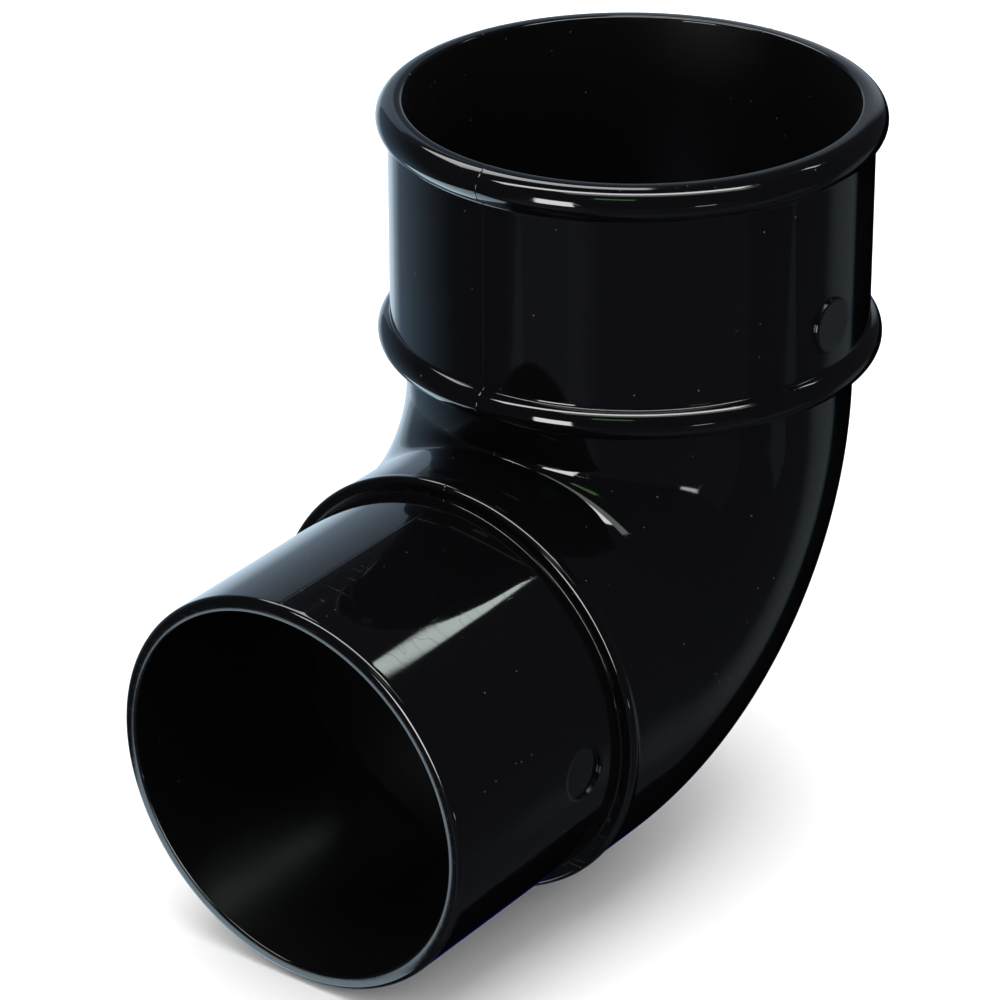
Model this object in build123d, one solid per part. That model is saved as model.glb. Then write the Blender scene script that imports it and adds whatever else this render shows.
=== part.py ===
from build123d import *
from math import cos, radians, sin
import os

# Downpipe bend, 92.5 degrees, socket to spigot, for round rainwater pipe.
# One injection moulding in rigid PVC, with one even wall all the way through.
# The socket at the top takes the plain end of a pipe, which stops on a ledge.
# The passage turns on a tight throat. The spigot goes into the bore of the next
# pipe, whose end butts on the collar.
#
# Millimetres and degrees. +Z is the socket's axis, towards its mouth, and the
# origin is on that axis where the pipe in the socket stops. The spigot points
# to -Y. X = 0 is the plane of symmetry, where the two mould halves met.

# The pipe that the bend joins
pipe_outside = 68.0
pipe_wall = 2.2

# The moulding's wall, and the radial gaps of its two joints
wall = 2.3
socket_gap = 0.45
spigot_gap = 0.2

# Bend
bend_angle = 92.5
throat_radius = 0.3
neck_outside = 68.7
tail_outside = 67.5
neck_length = 8.8
tail_length = 12.0
elbow_sections = 7

# Socket, with a bead round its rim and one round its foot
socket_depth = 37.0
mouth_round = 0.7
rim_bead_round = 2.65
rim_bead_stand = 1.8
foot_bead_round = 2.45
foot_bead_stand = 1.9
foot_bead_drop = 0.2
neck_fillet = 1.0

# Collar and spigot
collar_width = 1.6
collar_ramp = 0.5
collar_round = 0.8
spigot_length = 38.4
spigot_end_round = 0.9
bore_taper_length = 4.0

# Round moulding marks on the +X side, each with a flat face: the socket's is raised, the spigot's sunk
socket_mark_diameter = 8.6
socket_mark_height = 9.3
socket_mark_rise = 0.4
spigot_mark_diameter = 8.0
spigot_mark_reach = 8.9
spigot_mark_depth = 0.7

# Radii that follow from the pipe and the wall
socket_bore_radius = pipe_outside / 2 + socket_gap
socket_radius = socket_bore_radius + wall
neck_radius = neck_outside / 2
tail_radius = tail_outside / 2
collar_radius = pipe_outside / 2
spigot_radius = pipe_outside / 2 - pipe_wall - spigot_gap
spigot_bore_radius = spigot_radius - wall

# Centre line: down the neck, round the bend, out along the tail
turn = 180 - bend_angle
bend_radius = neck_radius + throat_radius
bend_centre = Vector(0, -bend_radius, -neck_length)
spigot_direction = Vector(0, -sin(radians(turn)), -cos(radians(turn)))
tail_start = bend_centre + Vector(0, bend_radius * cos(radians(turn)), -bend_radius * sin(radians(turn)))

# A section's x is the radius and its y runs along the axis that it turns about
socket_section_plane = Plane.XZ
spigot_section_plane = Plane(tail_start, x_dir=(1, 0, 0), z_dir=Vector(1, 0, 0).cross(spigot_direction))
collar_face = tail_length
spigot_end = collar_face + spigot_length


def block(inner, outer, low, high):
    """Rectangle of a section, from one radius to another and one height to another."""
    corner = Align.MIN
    return Pos(inner, low) * Rectangle(outer - inner, high - low, align=(corner, corner))


def corner_at(section, radius, height):
    """The section's corner nearest to a point."""
    return section.vertices().sort_by_distance(Vector(radius, height))[0]


def bead(stand, round_radius, height):
    """Section of a bead: its centre's radius and the circle itself."""
    centre_radius = socket_radius + stand - round_radius
    return centre_radius, Pos(centre_radius, height) * Circle(round_radius)


def socket_and_neck():
    """Socket with its two beads, the ledge that stops the pipe, and the straight neck."""
    rim_height = socket_depth - rim_bead_round
    rim_centre, rim_bead = bead(rim_bead_stand, rim_bead_round, rim_height)
    foot_centre, foot_bead = bead(foot_bead_stand, foot_bead_round, -foot_bead_drop)
    foot_height = -foot_bead_drop - foot_bead_round
    passage_radius = neck_radius - wall

    section = block(socket_bore_radius, socket_radius, 0, rim_height)
    section += block(socket_bore_radius, rim_centre, rim_height, socket_depth) + rim_bead
    section += block(passage_radius, foot_centre, foot_height, 0) + foot_bead
    section += block(passage_radius, neck_radius, -neck_length, 0)

    # The beads are trimmed back to the bore and the passage where they are wider than the wall
    section -= block(0, socket_bore_radius, 0, socket_depth)
    section -= block(0, passage_radius, -neck_length, 0)

    section = fillet(corner_at(section, neck_radius, foot_height), neck_fillet)
    section = fillet(corner_at(section, socket_bore_radius, socket_depth), mouth_round)
    return revolve(socket_section_plane * section, Axis.Z)


def elbow_form(start_radius, end_radius):
    """Solid round the bend's centre line, tapering evenly from one radius to the other."""
    sections = []
    for step in range(elbow_sections):
        share = step / (elbow_sections - 1)
        angle = radians(turn * share)
        outwards = Vector(0, cos(angle), -sin(angle))
        along = Vector(0, -sin(angle), -cos(angle))
        place = Plane(bend_centre + outwards * bend_radius, x_dir=(1, 0, 0), z_dir=along)
        sections.append(place * Circle(start_radius + (end_radius - start_radius) * share))
    return loft(sections)


def elbow():
    """The bend itself, one even wall from the neck to the tail."""
    return elbow_form(neck_radius, tail_radius) - elbow_form(neck_radius - wall, tail_radius - wall)


def tail_and_spigot():
    """Straight tail, the collar that stands proud of it, and the spigot."""
    passage_radius = tail_radius - wall
    ramp_start = collar_face - collar_width
    outline = Polyline(
        (passage_radius, 0),
        (tail_radius, 0),
        (tail_radius, ramp_start),
        (collar_radius, ramp_start + collar_ramp),
        (collar_radius, collar_face),
        (spigot_radius, collar_face),
        (spigot_radius, spigot_end),
        (spigot_bore_radius, spigot_end),
        (spigot_bore_radius, collar_face),
        (passage_radius, collar_face - bore_taper_length),
        close=True,
    )
    section = Sketch() + make_face(outline)
    section = fillet(corner_at(section, collar_radius, collar_face), collar_round)
    section = fillet(corner_at(section, spigot_radius, spigot_end), spigot_end_round)
    return revolve(spigot_section_plane * section, Axis(tail_start, spigot_direction))


def mark(centre, diameter, inner_radius, outer_radius):
    """Cylinder along +X across a round wall, from one distance to another from the wall's axis."""
    start = Plane(centre + Vector(inner_radius, 0, 0), z_dir=(1, 0, 0))
    return extrude(start * Circle(diameter / 2), outer_radius - inner_radius)


def socket_mark():
    """Flat disc that stands proud of the socket's wall."""
    centre = Vector(0, 0, socket_mark_height)
    return mark(centre, socket_mark_diameter, socket_radius - wall / 2, socket_radius + socket_mark_rise)


def spigot_mark():
    """Cutter for the flat recess in the spigot's wall."""
    centre = tail_start + spigot_direction * (collar_face + spigot_mark_reach)
    return mark(centre, spigot_mark_diameter, spigot_radius - spigot_mark_depth, spigot_radius + wall)


def downpipe_bend():
    """The whole bend, one solid."""
    bend = socket_and_neck() + elbow() + tail_and_spigot()
    return bend + socket_mark() - spigot_mark()


os.makedirs("parts", exist_ok=True)
export_step(downpipe_bend(), "parts/downpipe_bend.step")
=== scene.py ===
import math

import bmesh
import bpy
from mathutils import Matrix, Vector


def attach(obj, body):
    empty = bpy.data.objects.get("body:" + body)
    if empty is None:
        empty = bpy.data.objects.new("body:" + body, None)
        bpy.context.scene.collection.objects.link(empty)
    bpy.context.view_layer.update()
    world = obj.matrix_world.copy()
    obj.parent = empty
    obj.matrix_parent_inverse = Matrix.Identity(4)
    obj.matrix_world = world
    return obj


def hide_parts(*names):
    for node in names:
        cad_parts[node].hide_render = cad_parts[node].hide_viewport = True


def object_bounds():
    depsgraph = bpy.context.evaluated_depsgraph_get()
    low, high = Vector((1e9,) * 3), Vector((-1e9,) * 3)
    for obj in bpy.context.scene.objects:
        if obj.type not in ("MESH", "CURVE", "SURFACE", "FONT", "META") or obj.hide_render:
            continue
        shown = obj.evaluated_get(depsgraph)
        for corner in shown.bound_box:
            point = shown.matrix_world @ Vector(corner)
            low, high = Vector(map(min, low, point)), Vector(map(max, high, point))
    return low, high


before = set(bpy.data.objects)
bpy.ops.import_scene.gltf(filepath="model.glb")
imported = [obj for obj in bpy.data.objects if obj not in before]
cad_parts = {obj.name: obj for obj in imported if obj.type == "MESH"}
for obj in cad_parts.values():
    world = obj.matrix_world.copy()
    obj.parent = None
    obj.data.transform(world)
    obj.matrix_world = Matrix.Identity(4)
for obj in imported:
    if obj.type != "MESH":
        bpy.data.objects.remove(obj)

# A 92.5 degree bend for round rainwater pipe, moulded in one piece in gloss black rigid PVC.
# Sizes are in millimetres unless their name says otherwise, and MM turns them into Blender's metres.
MM = 0.001
cad_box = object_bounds()

# The moulding: the solid's own sizes, and the small fillets and rounds that only this skin has
WALL = 2.3
SOCKET_BORE_RADIUS = 34.45
SOCKET_RADIUS = SOCKET_BORE_RADIUS + WALL
SOCKET_DEPTH = 37.0
MOUTH_ROUND = 0.5
RIM_BEAD_ROUND = 2.65
RIM_BEAD_STAND = 1.8
FOOT_BEAD_ROUND = 2.45
FOOT_BEAD_STAND = 1.9
FOOT_BEAD_DROP = 0.2
BEAD_FILLET = 0.5
NECK_RADIUS = 34.35
NECK_FILLET = 1.0
NECK_LENGTH = 8.8
TURN = math.radians(87.5)
THROAT_RADIUS = 0.3
BEND_RADIUS = NECK_RADIUS + THROAT_RADIUS
TAIL_RADIUS = 33.75
TAIL_LENGTH = 12.0
COLLAR_RADIUS = 34.0
COLLAR_WIDTH = 1.6
COLLAR_RAMP = 0.5
COLLAR_ROUND = 0.8
SPIGOT_RADIUS = 31.6
SPIGOT_LENGTH = 38.4
SPIGOT_END_ROUND = 0.9
EDGE_ROUND = 0.3
BORE_TAPER_LENGTH = 4.0
SOCKET_MARK_HEIGHT = 9.3
SPIGOT_MARK_REACH = 8.9

# The mould's parting line, a fine raised line in the plane X = 0
SEAM_WIDTH = 0.36
SEAM_SEGMENTS = 4
SEAM_RISE = 0.06

# Where the bend turns about, and the way the spigot points
BEND_CENTRE = Vector((0, -BEND_RADIUS, -NECK_LENGTH))
SPIGOT_DIRECTION = Vector((0, -math.sin(TURN), -math.cos(TURN)))
TAIL_START = BEND_CENTRE + BEND_RADIUS * Vector((0, math.cos(TURN), -math.sin(TURN)))

# How finely the skin is divided, and how far from each round an extra ring keeps its shading off the wall
RING_SIDES = 240
OUTER_BEND_STEPS = 70
INNER_BEND_STEPS = 46
ARC_STEP_DEGREES = 7.5
MARK_COLUMNS = 6
MARK_EDGE_STEPS = 4
BESIDE_A_ROUND = 0.4

# How far off a place may be and still count as on a form, and as on the outer skin
NEAR = 0.01
SKIN_DEPTH = 0.1

# The black PVC's surface, in millimetres: how far apart its slow waves, orange peel, dulled patches,
# specks and scratches lie, and how high or deep they are
WAVE_SPACING, WAVE_HEIGHT = 14.0, 0.035
PEEL_SPACING, PEEL_HEIGHT = 0.9, 0.0012
HANDLED_SPACING = 24.0
SPECK_SPACING, SPECK_HEIGHT = 1.7, 0.02
SCRATCH_SPACING, SCRATCH_DEPTH = 3.0, 0.001

# The largest speck's radius as a share of the spacing, and a scratch's width as a share of its length
LARGEST_SPECK = 0.07
SCRATCH_SLIMNESS = 0.06

# Roughness where the surface is cleanest and where hands have dulled it, and what a speck adds
GLOSS_ROUGHNESS = (0.04, 0.07)
SATIN_ROUGHNESS = (0.3, 0.36)
SPECK_ROUGHNESS = 0.6

# The camera's azimuth, in degrees from the spigot's side
CAMERA_AZIMUTH = 37.469

# The floor's side and the height and size of its light, in metres, and how bright that light and the pale
# surroundings are
FLOOR_SIZE = 6
CEILING_HEIGHT = 2.0
CEILING_LIGHT_SIZE = 2.0
CEILING_LIGHT_STRENGTH = 3
PALE_BRIGHTNESS = 1.2

# How soft the edges of the lights are in the gloss, as a share of how far away they are, and how much of
# their light is left where one gloss surface shows another
PANEL_EDGE = 0.012
SECOND_REFLECTION = 0.15

# Lights that hang level overhead, square to the camera: reach to the camera's right, reach towards the
# camera, both as shares of their height above the bend, brightness and tint
CEILING_PANELS = (
    ((-0.85, 0.62), (0.05, 0.22), 13, "#FFFFFF"),
    ((-0.4, 0.8), (0.22, 0.42), 2.2, "#F4FFF8"),
    ((-0.62, 0.06), (-1.15, -0.55), 5, "#FFFFFF"),
    ((0.69, 0.92), (-0.53, -0.455), 8, "#F0FFFA"),
)

# Lights and cards on stands: azimuth, elevation, width and height in degrees, brightness and tint
STAND_PANELS = (
    (2.5, -3, 17, 26, 14, "#FFFFFF"),
    (68, -11.3, 9, 2.4, 7, "#FFFFFF"),
    (27.5, 45, 15, 7, 1.8, "#B8FFB0"),
    (-129, 1, 22, 58, 0.35, "#D8EAFF"),
    (50, -28, 78, 36, 0.04, "#D0D4FF"),
    (50, -60, 120, 26, 0.085, "#D8E4F0"),
    (-72, -47, 50, 22, 2.8, "#D8F0FF"),
)

# Dim light on the studio's walls, as the gloss shows it: azimuth, elevation, the angles from there up to
# which it is even and at which it is gone, and how bright it is. The first is the whole room. The last
# is a black cloth, which takes light away.
WALL_GLOWS = (
    (0, 0, 179, 180, (0.035, 0.038, 0.045)),
    (-120, -20, 8, 62, (0.16, 0.25, 0.34)),
    (-124, -14, 6, 20, (0.5, 0.6, 0.66)),
    (-155, 10, 6, 18, (0.4, 0.45, 0.5)),
    (158, -23, 5, 17, (0.11, 0.14, 0.14)),
    (-2, -28, 6, 24, (0.06, 0.065, 0.09)),
    (-166, -28, 15, 28, (-0.3, -0.3, -0.3)),
)


class RoundMark:
    """A round mark with a flat face on the +X side of a round wall, where the mould holds an insert."""

    def __init__(self, centre, along, wall_radius, radius, rise, wall_round, face_round):
        self.centre = centre
        self.along = along
        self.across = along.cross(Vector((1, 0, 0)))
        self.wall_radius = wall_radius
        self.radius = radius
        self.rise = rise
        self.wall_round = wall_round
        self.face_round = face_round
        self.half_window = wall_radius * math.sin(2 * math.pi * MARK_COLUMNS / RING_SIDES)

    def rows(self):
        """Places along the wall's axis, from the mark's centre, of the rings in the window round it."""
        count = 2 * MARK_COLUMNS
        return [self.half_window * (2 * i / count - 1) for i in range(count + 1)]

    def local(self, place):
        """How far a place is from the mark's centre, along and across the wall's axis."""
        offset = place - self.centre
        return offset.dot(self.along), offset.dot(self.across)

    def covers(self, corners):
        """True for a face of the wall that lies in the window."""
        limit = self.half_window + NEAR
        for corner in corners:
            along, across = self.local(corner)
            off_axis = math.hypot(across, corner.x)
            if corner.x < 0 or abs(along) > limit or abs(across) > limit:
                return False
            if abs(off_axis - self.wall_radius) > NEAR:
                return False
        return True

    def loops(self):
        """Distance outside the mark's edge, and height from the wall or from the face, going inwards."""
        way = math.copysign(1, self.rise)
        quarter = [math.radians(90 * i / MARK_EDGE_STEPS) for i in range(MARK_EDGE_STEPS + 1)]
        loops = [(self.wall_round + BESIDE_A_ROUND, "wall", 0)]
        for a in quarter:
            outside = self.wall_round * (1 - math.sin(a))
            loops.append((outside, "wall", way * self.wall_round * (1 - math.cos(a))))
        for a in quarter:
            inside = self.face_round * (1 - math.cos(a))
            loops.append((-inside, "face", -way * self.face_round * (1 - math.sin(a))))
        loops.append((-self.face_round - BESIDE_A_ROUND, "face", 0))
        return loops

    def place_on_loop(self, place, loop):
        """Where a point of the window's border goes, in its own direction from the centre, on a loop."""
        outside, base, height = loop
        along, across = self.local(place)
        direction = math.atan2(across, along)
        along = (self.radius + outside) * math.cos(direction)
        across = (self.radius + outside) * math.sin(direction)
        wall = math.sqrt(self.wall_radius ** 2 - across ** 2)
        height += wall if base == "wall" else self.wall_radius + self.rise
        return self.centre + self.along * along + self.across * across + Vector((height, 0, 0))


# The socket's mark is a raised disc, and the spigot's a flat recess
SOCKET_MARK = RoundMark(Vector((0, 0, SOCKET_MARK_HEIGHT)), Vector((0, 0, 1)), wall_radius=SOCKET_RADIUS,
                        radius=4.3, rise=0.4, wall_round=0.1, face_round=0.25)
SPIGOT_MARK = RoundMark(TAIL_START + SPIGOT_DIRECTION * (TAIL_LENGTH + SPIGOT_MARK_REACH), SPIGOT_DIRECTION,
                        wall_radius=SPIGOT_RADIUS, radius=4.0, rise=-0.7, wall_round=0.12, face_round=0.15)


def arc(centre, radius, start, end):
    """Points of a section's arc, with angles in degrees from outwards towards the end of the axis."""
    steps = max(2, math.ceil(abs(end - start) / ARC_STEP_DEGREES))
    angles = [math.radians(start + (end - start) * i / steps) for i in range(steps + 1)]
    return [(centre[0] + radius * math.cos(a), centre[1] + radius * math.sin(a)) for a in angles]


def fillet_under_bead(bead_radius, bead_round):
    """How far along the axis a bead's centre is from its fillet's, and the angle that it is seen at."""
    aside = SOCKET_RADIUS + BEAD_FILLET - bead_radius
    along = math.sqrt((bead_round + BEAD_FILLET) ** 2 - aside ** 2)
    return along, math.degrees(math.atan2(along, aside))


def rim_bead_section():
    """The rim's bead from its top down, and its fillet to the wall."""
    centre = (SOCKET_RADIUS + RIM_BEAD_STAND - RIM_BEAD_ROUND, SOCKET_DEPTH - RIM_BEAD_ROUND)
    reach, angle = fillet_under_bead(centre[0], RIM_BEAD_ROUND)
    fillet = (SOCKET_RADIUS + BEAD_FILLET, centre[1] - reach)
    section = arc(centre, RIM_BEAD_ROUND, 90, -angle)
    section += arc(fillet, BEAD_FILLET, 180 - angle, 180)[1:]
    section += [(SOCKET_RADIUS, fillet[1] - BESIDE_A_ROUND)]
    return section


def foot_bead_section():
    """The foot's bead from the wall down, with its fillet to the wall and the one to the neck."""
    centre = (SOCKET_RADIUS + FOOT_BEAD_STAND - FOOT_BEAD_ROUND, -FOOT_BEAD_DROP)
    reach, angle = fillet_under_bead(centre[0], FOOT_BEAD_ROUND)
    fillet = (SOCKET_RADIUS + BEAD_FILLET, centre[1] + reach)
    root = (NECK_RADIUS + NECK_FILLET, centre[1] - FOOT_BEAD_ROUND - NECK_FILLET)
    section = [(SOCKET_RADIUS, fillet[1] + BESIDE_A_ROUND)]
    section += arc(fillet, BEAD_FILLET, 180, 180 + angle)
    section += arc(centre, FOOT_BEAD_ROUND, angle, -90)[1:]
    section += arc(root, NECK_FILLET, 90, 180)
    section += [(NECK_RADIUS, root[1] - BESIDE_A_ROUND)]
    return section


def socket_section():
    """Radius and height of the skin, from the passage up the bore, over the rim and down to the neck."""
    passage = NECK_RADIUS - WALL
    bore = SOCKET_BORE_RADIUS
    section = [(passage, -NECK_LENGTH), (passage, -EDGE_ROUND - BESIDE_A_ROUND)]
    section += arc((passage + EDGE_ROUND, -EDGE_ROUND), EDGE_ROUND, 180, 90)
    section += arc((bore - EDGE_ROUND, EDGE_ROUND), EDGE_ROUND, -90, 0)
    section += [(bore, EDGE_ROUND + BESIDE_A_ROUND), (bore, SOCKET_DEPTH / 2)]
    section += [(bore, SOCKET_DEPTH - MOUTH_ROUND - BESIDE_A_ROUND)]
    section += arc((bore + MOUTH_ROUND, SOCKET_DEPTH - MOUTH_ROUND), MOUTH_ROUND, 180, 90)

    section += rim_bead_section()
    section += [(SOCKET_RADIUS, SOCKET_MARK_HEIGHT - row) for row in SOCKET_MARK.rows()]
    section += foot_bead_section()
    section += [(NECK_RADIUS, -NECK_LENGTH)]
    return section


def spigot_section():
    """Radius and distance along the spigot's axis of the skin, from the bend out and back inside."""
    ramp = TAIL_LENGTH - COLLAR_WIDTH
    end = TAIL_LENGTH + SPIGOT_LENGTH
    bore = SPIGOT_RADIUS - WALL
    section = [(TAIL_RADIUS, TAIL_LENGTH / 2), (TAIL_RADIUS, ramp - BESIDE_A_ROUND), (TAIL_RADIUS, ramp)]
    section += [(COLLAR_RADIUS, ramp + COLLAR_RAMP)]
    section += arc((COLLAR_RADIUS - COLLAR_ROUND, TAIL_LENGTH - COLLAR_ROUND), COLLAR_ROUND, 0, 90)
    section += [(SPIGOT_RADIUS + EDGE_ROUND + BESIDE_A_ROUND, TAIL_LENGTH)]
    section += arc((SPIGOT_RADIUS + EDGE_ROUND, TAIL_LENGTH + EDGE_ROUND), EDGE_ROUND, -90, -180)
    section += [(SPIGOT_RADIUS, TAIL_LENGTH + EDGE_ROUND + BESIDE_A_ROUND)]

    mark_reach = TAIL_LENGTH + SPIGOT_MARK_REACH
    section += [(SPIGOT_RADIUS, mark_reach + row) for row in SPIGOT_MARK.rows()]

    section += [(SPIGOT_RADIUS, end - SPIGOT_END_ROUND - BESIDE_A_ROUND)]
    section += arc((SPIGOT_RADIUS - SPIGOT_END_ROUND, end - SPIGOT_END_ROUND), SPIGOT_END_ROUND, 0, 90)
    section += arc((bore + EDGE_ROUND, end - EDGE_ROUND), EDGE_ROUND, 90, 180)
    section += [(bore, end - EDGE_ROUND - BESIDE_A_ROUND), (bore, TAIL_LENGTH + BESIDE_A_ROUND)]
    taper_end = (TAIL_RADIUS - WALL, TAIL_LENGTH - BORE_TAPER_LENGTH)
    section += [(bore, TAIL_LENGTH), taper_end, (taper_end[0], taper_end[1] - BESIDE_A_ROUND)]
    return section


def deselect():
    """Leaves nothing selected, neither the solid's node nor the last piece."""
    for piece in bpy.context.selected_objects:
        piece.select_set(False)


def select_where(piece, part, wanted):
    """In edit mode, selects only the vertices, edges or faces whose corners, in millimetres, pass a test."""
    kinds = {"vertices": "VERT", "edges": "EDGE", "polygons": "FACE"}
    bpy.ops.mesh.select_mode(type=kinds[part])
    bpy.ops.mesh.select_all(action="DESELECT")
    bpy.ops.object.mode_set(mode="OBJECT")
    places = [vertex.co / MM for vertex in piece.data.vertices]
    for item in getattr(piece.data, part):
        corners = [item.index] if part == "vertices" else item.vertices
        item.select = wanted([places[i] for i in corners])
    bpy.ops.object.mode_set(mode="EDIT")


def turn_socket(name):
    """The socket and neck: the section drawn from point to point, then spun about the socket's axis."""
    section = socket_section()
    deselect()
    radius, height = section[0]
    bpy.ops.mesh.primitive_plane_add(size=MM, location=(radius * MM, 0, height * MM))
    piece = bpy.context.object
    piece.name = name
    bpy.ops.object.transform_apply(location=True)
    bpy.ops.object.mode_set(mode="EDIT")
    bpy.ops.mesh.merge(type="CENTER")
    for before, after in zip(section, section[1:]):
        step = ((after[0] - before[0]) * MM, 0, (after[1] - before[1]) * MM)
        bpy.ops.mesh.extrude_region_move(TRANSFORM_OT_translate={"value": step})
    bpy.ops.mesh.select_all(action="SELECT")
    bpy.ops.mesh.spin(steps=RING_SIDES, angle=2 * math.pi, center=(0, 0, 0), axis=(0, 0, 1))
    bpy.ops.mesh.select_all(action="SELECT")
    bpy.ops.mesh.remove_doubles(threshold=0.001 * MM)
    return piece


def resize_ring(ratio, centre):
    """Scales the selected ring about its centre."""
    bpy.ops.transform.resize(value=(ratio, ratio, ratio), center_override=centre * MM)


def select_neck_end(piece, radius):
    """Selects the open ring at the neck's end that has this radius."""
    def on_ring(corners):
        return all(abs(c.z + NECK_LENGTH) < NEAR and abs(c.xy.length - radius) < NEAR for c in corners)
    select_where(piece, "edges", on_ring)


def bend_ring(start_radius, end_radius, steps):
    """Extrudes the selected ring round the bend, step by step, while it narrows evenly."""
    step = TURN / steps
    radius = start_radius
    for i in range(1, steps + 1):
        bpy.ops.mesh.extrude_region()
        bpy.ops.transform.rotate(value=step, orient_axis="X", center_override=BEND_CENTRE * MM)
        angle = step * i
        centre = BEND_CENTRE + BEND_RADIUS * Vector((0, math.cos(angle), -math.sin(angle)))
        new_radius = start_radius + (end_radius - start_radius) * i / steps
        resize_ring(new_radius / radius, centre)
        radius = new_radius


def draw_spigot(start_radius):
    """Extrudes the selected ring along the tail, over the collar, to the spigot's end and back inside."""
    radius, reach = start_radius, 0
    for new_radius, new_reach in spigot_section():
        step = SPIGOT_DIRECTION * (new_reach - reach) * MM
        bpy.ops.mesh.extrude_region_move(TRANSFORM_OT_translate={"value": step})
        resize_ring(new_radius / radius, TAIL_START + SPIGOT_DIRECTION * new_reach)
        radius, reach = new_radius, new_reach


def beside_tail(place):
    """How far a place is along the tail and spigot's axis, and how far from that axis."""
    reach = (place - TAIL_START).dot(SPIGOT_DIRECTION)
    return reach, (place - TAIL_START - SPIGOT_DIRECTION * reach).length


def beside_bend(place):
    """How far a place is from the centre line of the bend."""
    outwards = Vector((0, place.y - BEND_CENTRE.y, place.z - BEND_CENTRE.z)).normalized()
    return (place - BEND_CENTRE - outwards * BEND_RADIUS).length


def open_rim(corners):
    """True for the edges of the two open rings inside the tail."""
    reaches = []
    for place in corners:
        reach, off_axis = beside_tail(place)
        if abs(off_axis - (TAIL_RADIUS - WALL)) > NEAR:
            return False
        reaches.append(reach)
    return abs(reaches[0] - reaches[1]) < NEAR


def mark_wall(piece, mark):
    """Replaces a window of the wall by loops round the mark, over its rounded edges to its flat face."""
    select_where(piece, "polygons", mark.covers)
    bpy.ops.mesh.delete(type="FACE")
    bpy.ops.mesh.select_mode(type="EDGE")
    bpy.ops.mesh.select_non_manifold(extend=False, use_wire=False, use_multi_face=False,
                                     use_non_contiguous=False, use_verts=False, use_boundary=True)
    for loop in mark.loops():
        bpy.ops.mesh.extrude_edges_move()
        shape = bmesh.from_edit_mesh(piece.data)
        for vertex in shape.verts:
            if vertex.select:
                vertex.co = mark.place_on_loop(vertex.co / MM, loop) * MM
    bpy.ops.mesh.edge_face_add()


def on_core(corners):
    """True for the faces that the mould's cores shape: the bore, its ledge and the passage."""
    for place in corners:
        reach, off_axis = beside_tail(place)
        if place.z > -NEAR:
            inside = place.xy.length < SOCKET_BORE_RADIUS + NEAR
        elif place.z > -NECK_LENGTH - NEAR:
            inside = place.xy.length < NECK_RADIUS - WALL / 2
        elif reach < NEAR:
            inside = beside_bend(place) < TAIL_RADIUS - WALL / 2
        elif reach < TAIL_LENGTH:
            inside = off_axis < TAIL_RADIUS - WALL / 2
        else:
            inside = off_axis < SPIGOT_RADIUS - WALL + NEAR
        if not inside:
            return False
    return True


def on_seam(corners):
    """True for the edges in the plane where the mould halves met, on the outer skin, over the rim and down
    the socket's bore."""
    if any(abs(c.x) > NEAR for c in corners):
        return False
    middle = (corners[0] + corners[1]) / 2
    if middle.z > -NECK_LENGTH:
        return abs(middle.y) > NECK_RADIUS - SKIN_DEPTH
    reach, off_axis = beside_tail(middle)
    if reach > 0:
        return off_axis > SPIGOT_RADIUS - NEAR
    angle = math.atan2(BEND_CENTRE.z - middle.z, middle.y - BEND_CENTRE.y)
    return 0 <= angle <= TURN and beside_bend(middle) > TAIL_RADIUS - SKIN_DEPTH


def raise_seam(piece):
    """The parting line: a narrow strip along the middle of the skin, with its centre raised."""
    select_where(piece, "edges", on_seam)
    bpy.ops.mesh.bevel(offset=SEAM_WIDTH / 2 * MM, segments=SEAM_SEGMENTS, affect="EDGES")
    shape = bmesh.from_edit_mesh(piece.data)
    for vertex in shape.verts:
        if vertex.select and abs(vertex.co.x) < NEAR * MM:
            raised = vertex.co + vertex.normal * SEAM_RISE * MM
            raised.y = min(raised.y, cad_box[1][1])
            raised.z = min(max(raised.z, cad_box[0][2]), cad_box[1][2])
            vertex.co = raised


def black_bend(outside, inside):
    """The whole moulding, with one finish outside and another where the mould's cores were."""
    piece = turn_socket("downpipe_bend_moulding")
    piece.data.materials.append(outside)
    piece.data.materials.append(inside)
    select_neck_end(piece, NECK_RADIUS - WALL)
    bend_ring(NECK_RADIUS - WALL, TAIL_RADIUS - WALL, INNER_BEND_STEPS)
    select_neck_end(piece, NECK_RADIUS)
    bend_ring(NECK_RADIUS, TAIL_RADIUS, OUTER_BEND_STEPS)
    draw_spigot(TAIL_RADIUS)
    select_where(piece, "edges", open_rim)
    bpy.ops.mesh.bridge_edge_loops()
    mark_wall(piece, SOCKET_MARK)
    mark_wall(piece, SPIGOT_MARK)
    bpy.ops.mesh.select_all(action="SELECT")
    bpy.ops.mesh.normals_make_consistent(inside=False)
    select_where(piece, "polygons", on_core)
    piece.active_material_index = 1
    bpy.ops.object.material_slot_assign()
    raise_seam(piece)
    bpy.ops.object.mode_set(mode="OBJECT")
    bpy.ops.object.shade_smooth()
    return piece


def colour(hexadecimal):
    """A screen colour as Blender's linear values."""
    parts = [int(hexadecimal[i:i + 2], 16) / 255 for i in (1, 3, 5)]
    linear = [p / 12.92 if p <= 0.04045 else ((p + 0.055) / 1.055) ** 2.4 for p in parts]
    return (*linear, 1)


def new_material(name):
    """A material with an empty node tree."""
    material = bpy.data.materials.new(name)
    material.use_nodes = True
    material.node_tree.nodes.clear()
    return material


def node(tree, kind, links=None, **settings):
    """Adds a node, sets its properties and sockets, and links its inputs from other nodes' outputs."""
    made = tree.nodes.new(kind)
    for key, value in settings.items():
        if hasattr(made, key):
            setattr(made, key, value)
        else:
            made.inputs[key.replace("_", " ")].default_value = value
    for key, source in (links or {}).items():
        tree.links.new(source, made.inputs[key])
    return made


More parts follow.
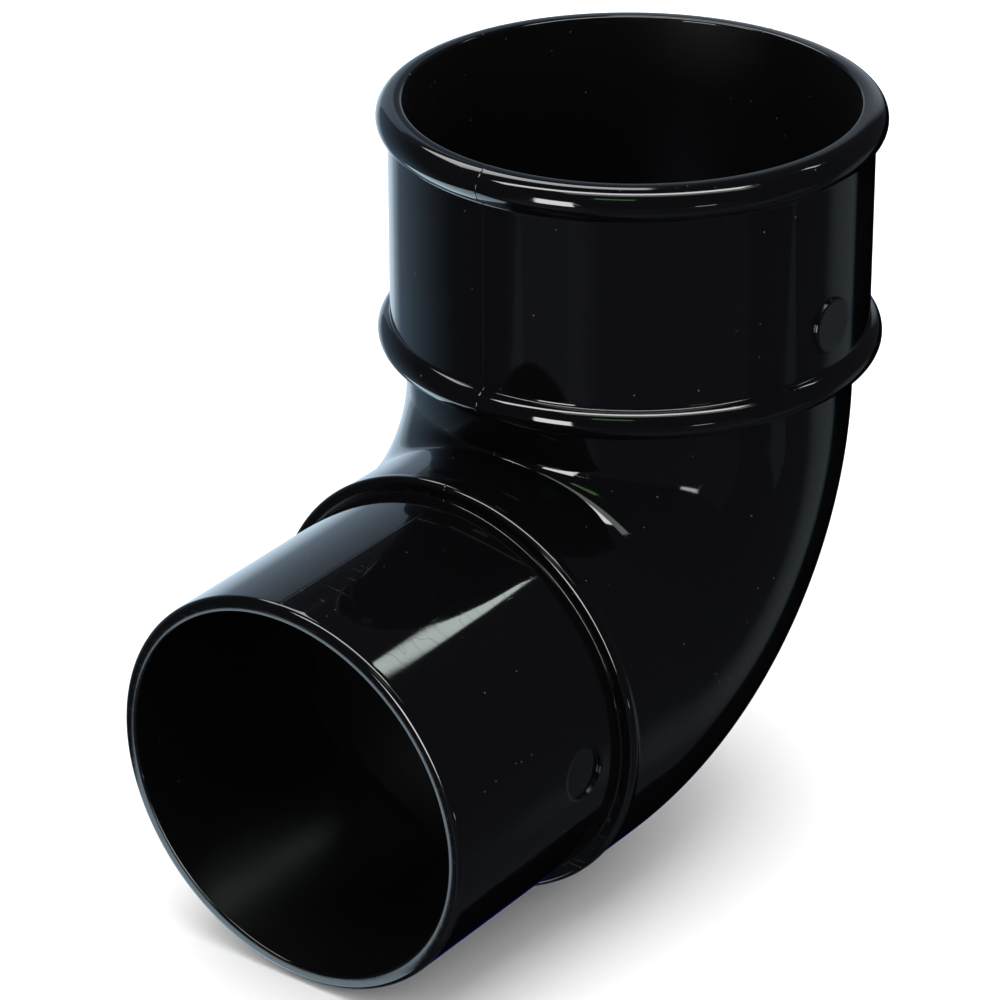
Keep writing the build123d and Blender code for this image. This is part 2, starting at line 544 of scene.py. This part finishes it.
def noise(tree, place, size, **settings):
    """Noise whose lumps are about this many millimetres across."""
    return node(tree, "ShaderNodeTexNoise", {"Vector": place}, Scale=1 / (size * MM), **settings)


def between(tree, value, low, high, **settings):
    """A value's smooth way from one to another limit, as 0 to 1 or as the settings say."""
    return node(tree, "ShaderNodeMapRange", {"Value": value}, interpolation_type="SMOOTHSTEP",
                From_Min=low, From_Max=high, **settings).outputs["Result"]


def calculate(tree, operation, *values):
    """The result of an operation on values, each a number or another node's output."""
    made = node(tree, "ShaderNodeMath", operation=operation)
    for socket, value in zip(made.inputs, values):
        if isinstance(value, (int, float)):
            socket.default_value = value
        else:
            tree.links.new(value, socket)
    return made.outputs[0]


def dust(tree, place):
    """Sparse specks of dust, at most 0.25 mm across: 1 in a speck and 0 beside it."""
    cells = node(tree, "ShaderNodeTexVoronoi", {"Vector": place}, Scale=1 / (SPECK_SPACING * MM))
    pick = node(tree, "ShaderNodeSeparateColor", {"Color": cells.outputs["Color"]})
    reach = calculate(tree, "MULTIPLY", between(tree, pick.outputs["Red"], 0.55, 1.0), LARGEST_SPECK)
    inside = calculate(tree, "SUBTRACT", reach, cells.outputs["Distance"])
    return between(tree, inside, -0.005, 0.01)


def hairlines(tree, place, angles):
    """Faint long scratches that run one way: 1 on a scratch and 0 beside it."""
    turned = node(tree, "ShaderNodeMapping", {"Vector": place})
    turned.inputs["Rotation"].default_value = [math.radians(angle) for angle in angles]
    turned.inputs["Scale"].default_value = (SCRATCH_SLIMNESS, 1.0, 1.0)
    lines = noise(tree, turned.outputs["Vector"], SCRATCH_SPACING, Detail=1.0, Roughness=0.4)
    off_line = calculate(tree, "ABSOLUTE", calculate(tree, "SUBTRACT", lines.outputs["Fac"], 0.5))
    return between(tree, off_line, 0.0, 0.004, To_Min=1.0, To_Max=0.0)


def uneven(tree, layers):
    """The normal of a surface with layers on top of each other. Each has its pattern and its height in
    millimetres, which is negative for what is cut in."""
    links = {}
    for pattern, height in layers:
        links["Height"] = pattern
        bump = node(tree, "ShaderNodeBump", links, Strength=1.0, Distance=abs(height) * MM,
                    invert=height < 0)
        links["Normal"] = bump.outputs["Normal"]
    return links["Normal"]


def black_pvc(name, polish):
    """Black moulded rigid PVC: a deep black that shows the studio's lights as clear shapes, slightly bent by
    the slow waves of a wall that shrank as it cooled and broken by a fine orange peel, with scattered dust
    specks and a few hairline scratches from handling. The polish is the roughness where it is cleanest and
    where hands have dulled it."""
    material = new_material(name)
    tree = material.node_tree
    place = node(tree, "ShaderNodeTexCoord").outputs["Object"]
    waves = noise(tree, place, WAVE_SPACING, Detail=0.0).outputs["Fac"]
    peel = noise(tree, place, PEEL_SPACING, Detail=1.0).outputs["Fac"]
    handled = noise(tree, place, HANDLED_SPACING, Detail=2.0).outputs["Fac"]
    specks = dust(tree, place)
    scratches = hairlines(tree, place, (20, 35, 50))
    normal = uneven(tree, ((waves, WAVE_HEIGHT), (peel, PEEL_HEIGHT), (scratches, -SCRATCH_DEPTH),
                           (specks, SPECK_HEIGHT)))

    tone = node(tree, "ShaderNodeMix", {"Factor": specks}, data_type="RGBA")
    tone.inputs["A"].default_value = colour("#050506")
    tone.inputs["B"].default_value = colour("#505256")
    film = between(tree, handled, 0.35, 0.75, To_Min=polish[0], To_Max=polish[1])
    roughness = calculate(tree, "ADD", film, calculate(tree, "MULTIPLY", specks, SPECK_ROUGHNESS))
    shader = node(tree, "ShaderNodeBsdfPrincipled",
                  {"Base Color": tone.outputs["Result"], "Roughness": roughness, "Normal": normal}, IOR=1.53)
    node(tree, "ShaderNodeOutputMaterial", {"Surface": shader.outputs["BSDF"]})
    return material


def studio_floor():
    """A wide board under the lowest point of the bend, painted a pale matt white that shows its shadow
    and no gloss."""
    deselect()
    bpy.ops.mesh.primitive_plane_add(size=FLOOR_SIZE, location=(0, 0, cad_box[0][2]))
    floor = bpy.context.object
    floor.name = "studio_floor"
    bpy.ops.object.transform_apply(location=True)
    material = new_material("pale_floor")
    tree = material.node_tree
    shader = node(tree, "ShaderNodeBsdfPrincipled", Base_Color=colour("#F4F4F4"), Roughness=0.6)
    node(tree, "ShaderNodeOutputMaterial", {"Surface": shader.outputs["BSDF"]})
    floor.data.materials.append(material)
    floor.visible_glossy = False


def photo_camera():
    """The photograph's view of the bend. The offsets move the camera sideways and up, across its view."""
    azimuth, elevation, roll = math.radians(CAMERA_AZIMUTH), math.radians(26.116), math.radians(-0.187)
    distance, offset_right, offset_up = 704.435, -19.884, -27.329
    back = Vector((math.sin(azimuth) * math.cos(elevation), -math.cos(azimuth) * math.cos(elevation),
                   math.sin(elevation)))
    level_right = Vector((math.cos(azimuth), math.sin(azimuth), 0))
    level_up = back.cross(level_right)
    right = level_right * math.cos(roll) + level_up * math.sin(roll)
    up = level_up * math.cos(roll) - level_right * math.sin(roll)
    place = back * distance + right * offset_right + up * offset_up
    camera = bpy.data.objects.new("camera", bpy.data.cameras.new("camera"))
    camera.matrix_world = Matrix.Translation(place * MM) @ Matrix((right, up, back)).transposed().to_4x4()
    camera.data.lens = 165.352
    camera.data.sensor_width = 36
    camera.data.clip_start = 0.01
    bpy.context.collection.objects.link(camera)
    bpy.context.scene.camera = camera


def towards(azimuth, elevation):
    """The direction at these angles in degrees, with azimuth as the camera's is."""
    across, up = math.radians(azimuth), math.radians(elevation)
    return Vector((math.sin(across) * math.cos(up), -math.cos(across) * math.cos(up), math.sin(up)))


def ceiling_light():
    """The soft light overhead, as the floor gets it. The gloss shows the studio that the world holds."""
    light = bpy.data.lights.new("ceiling_light", "AREA")
    light.size = CEILING_LIGHT_SIZE
    light.energy = CEILING_LIGHT_STRENGTH * math.pi * CEILING_LIGHT_SIZE ** 2
    lamp = bpy.data.objects.new("ceiling_light", light)
    lamp.location = (0, 0, CEILING_HEIGHT)
    lamp.visible_camera = False
    lamp.visible_glossy = False
    bpy.context.collection.objects.link(lamp)


def component(tree, looking, axis):
    """How far a direction runs along an axis."""
    made = node(tree, "ShaderNodeVectorMath", {0: looking}, operation="DOT_PRODUCT")
    made.inputs[1].default_value = axis
    return made.outputs["Value"]


def toned(tree, share, tone):
    """A colour times a value."""
    made = node(tree, "ShaderNodeVectorMath", {"Scale": share}, operation="SCALE")
    made.inputs[0].default_value = tone
    return made.outputs[0]


def added(tree, patches):
    """Adds up the light of patches."""
    total = patches[0]
    for patch in patches[1:]:
        total = node(tree, "ShaderNodeVectorMath", {0: total, 1: patch}, operation="ADD").outputs[0]
    return total


def panel(tree, looking, facing, sides, brightness, tint):
    """A rectangle of light. Each of its two sides has a direction and its reach that way, as shares of the
    distance to the rectangle's plane."""
    distance = component(tree, looking, facing)
    inside = calculate(tree, "GREATER_THAN", distance, 0.0)
    for axis, (low, high) in sides:
        place = calculate(tree, "DIVIDE", component(tree, looking, axis), distance)
        off_middle = calculate(tree, "ABSOLUTE", calculate(tree, "SUBTRACT", place, (low + high) / 2))
        half = (high - low) / 2
        edge = between(tree, off_middle, half - PANEL_EDGE, half + PANEL_EDGE, To_Min=1.0, To_Max=0.0)
        inside = calculate(tree, "MULTIPLY", inside, edge)
    return toned(tree, inside, [brightness * part for part in colour(tint)[:3]])


def ceiling_panel(tree, looking, right, front, brightness, tint):
    """A panel that hangs level overhead, from its reaches to the camera's right and towards the camera."""
    sides = ((towards(CAMERA_AZIMUTH + 90, 0), right), (towards(CAMERA_AZIMUTH, 0), front))
    return panel(tree, looking, Vector((0, 0, 1)), sides, brightness, tint)


def stand_panel(tree, looking, azimuth, elevation, width, height, brightness, tint):
    """A panel that faces the bend from these angles, with its width and height in degrees."""
    facing, across = towards(azimuth, elevation), towards(azimuth + 90, 0)
    half_width, half_height = math.tan(math.radians(width / 2)), math.tan(math.radians(height / 2))
    sides = ((across, (-half_width, half_width)), (facing.cross(across), (-half_height, half_height)))
    return panel(tree, looking, facing, sides, brightness, tint)


def wall_glow(tree, looking, azimuth, elevation, full, none, tone):
    """A soft patch of light on the walls, even up to one angle from its middle and gone at another."""
    offset = component(tree, looking, towards(azimuth, elevation))
    share = between(tree, offset, math.cos(math.radians(none)), math.cos(math.radians(full)))
    return toned(tree, share, tone)


def studio_world():
    """Pale surroundings for the camera and the floor. The gloss shows a dark studio with dim walls, and the
    lights in it, which are weaker where one gloss surface shows another."""
    world = bpy.data.worlds.new("studio")
    bpy.context.scene.world = world
    world.use_nodes = True
    tree = world.node_tree
    tree.nodes.clear()
    looking = node(tree, "ShaderNodeTexCoord").outputs["Generated"]
    path = node(tree, "ShaderNodeLightPath")
    lights = added(tree, [ceiling_panel(tree, looking, *values) for values in CEILING_PANELS]
                   + [stand_panel(tree, looking, *values) for values in STAND_PANELS])
    walls = added(tree, [wall_glow(tree, looking, *values) for values in WALL_GLOWS])
    again = calculate(tree, "GREATER_THAN", path.outputs["Glossy Depth"], 1.5)
    left = calculate(tree, "MULTIPLY_ADD", again, SECOND_REFLECTION - 1, 1.0)
    seen = node(tree, "ShaderNodeVectorMath", {0: lights, "Scale": left}, operation="SCALE").outputs[0]
    lit = node(tree, "ShaderNodeVectorMath", {0: walls}, operation="MAXIMUM").outputs[0]
    dark = node(tree, "ShaderNodeBackground", {"Color": added(tree, [seen, lit])}, Strength=1.0)
    pale = node(tree, "ShaderNodeBackground", Color=colour("#FFFFFF"), Strength=PALE_BRIGHTNESS)
    mix = node(tree, "ShaderNodeMixShader", {0: path.outputs["Is Glossy Ray"], 1: pale.outputs[0],
                                             2: dark.outputs[0]})
    node(tree, "ShaderNodeOutputWorld", {"Surface": mix.outputs[0]})


gloss_outside = black_pvc("gloss_black_moulded_pvc", GLOSS_ROUGHNESS)
satin_inside = black_pvc("satin_black_pvc_core_side", SATIN_ROUGHNESS)
moulding = black_bend(gloss_outside, satin_inside)
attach(moulding, "root")
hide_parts("downpipe_bend")
studio_floor()
photo_camera()
ceiling_light()
studio_world()
bpy.context.scene.view_settings.view_transform = "Standard"
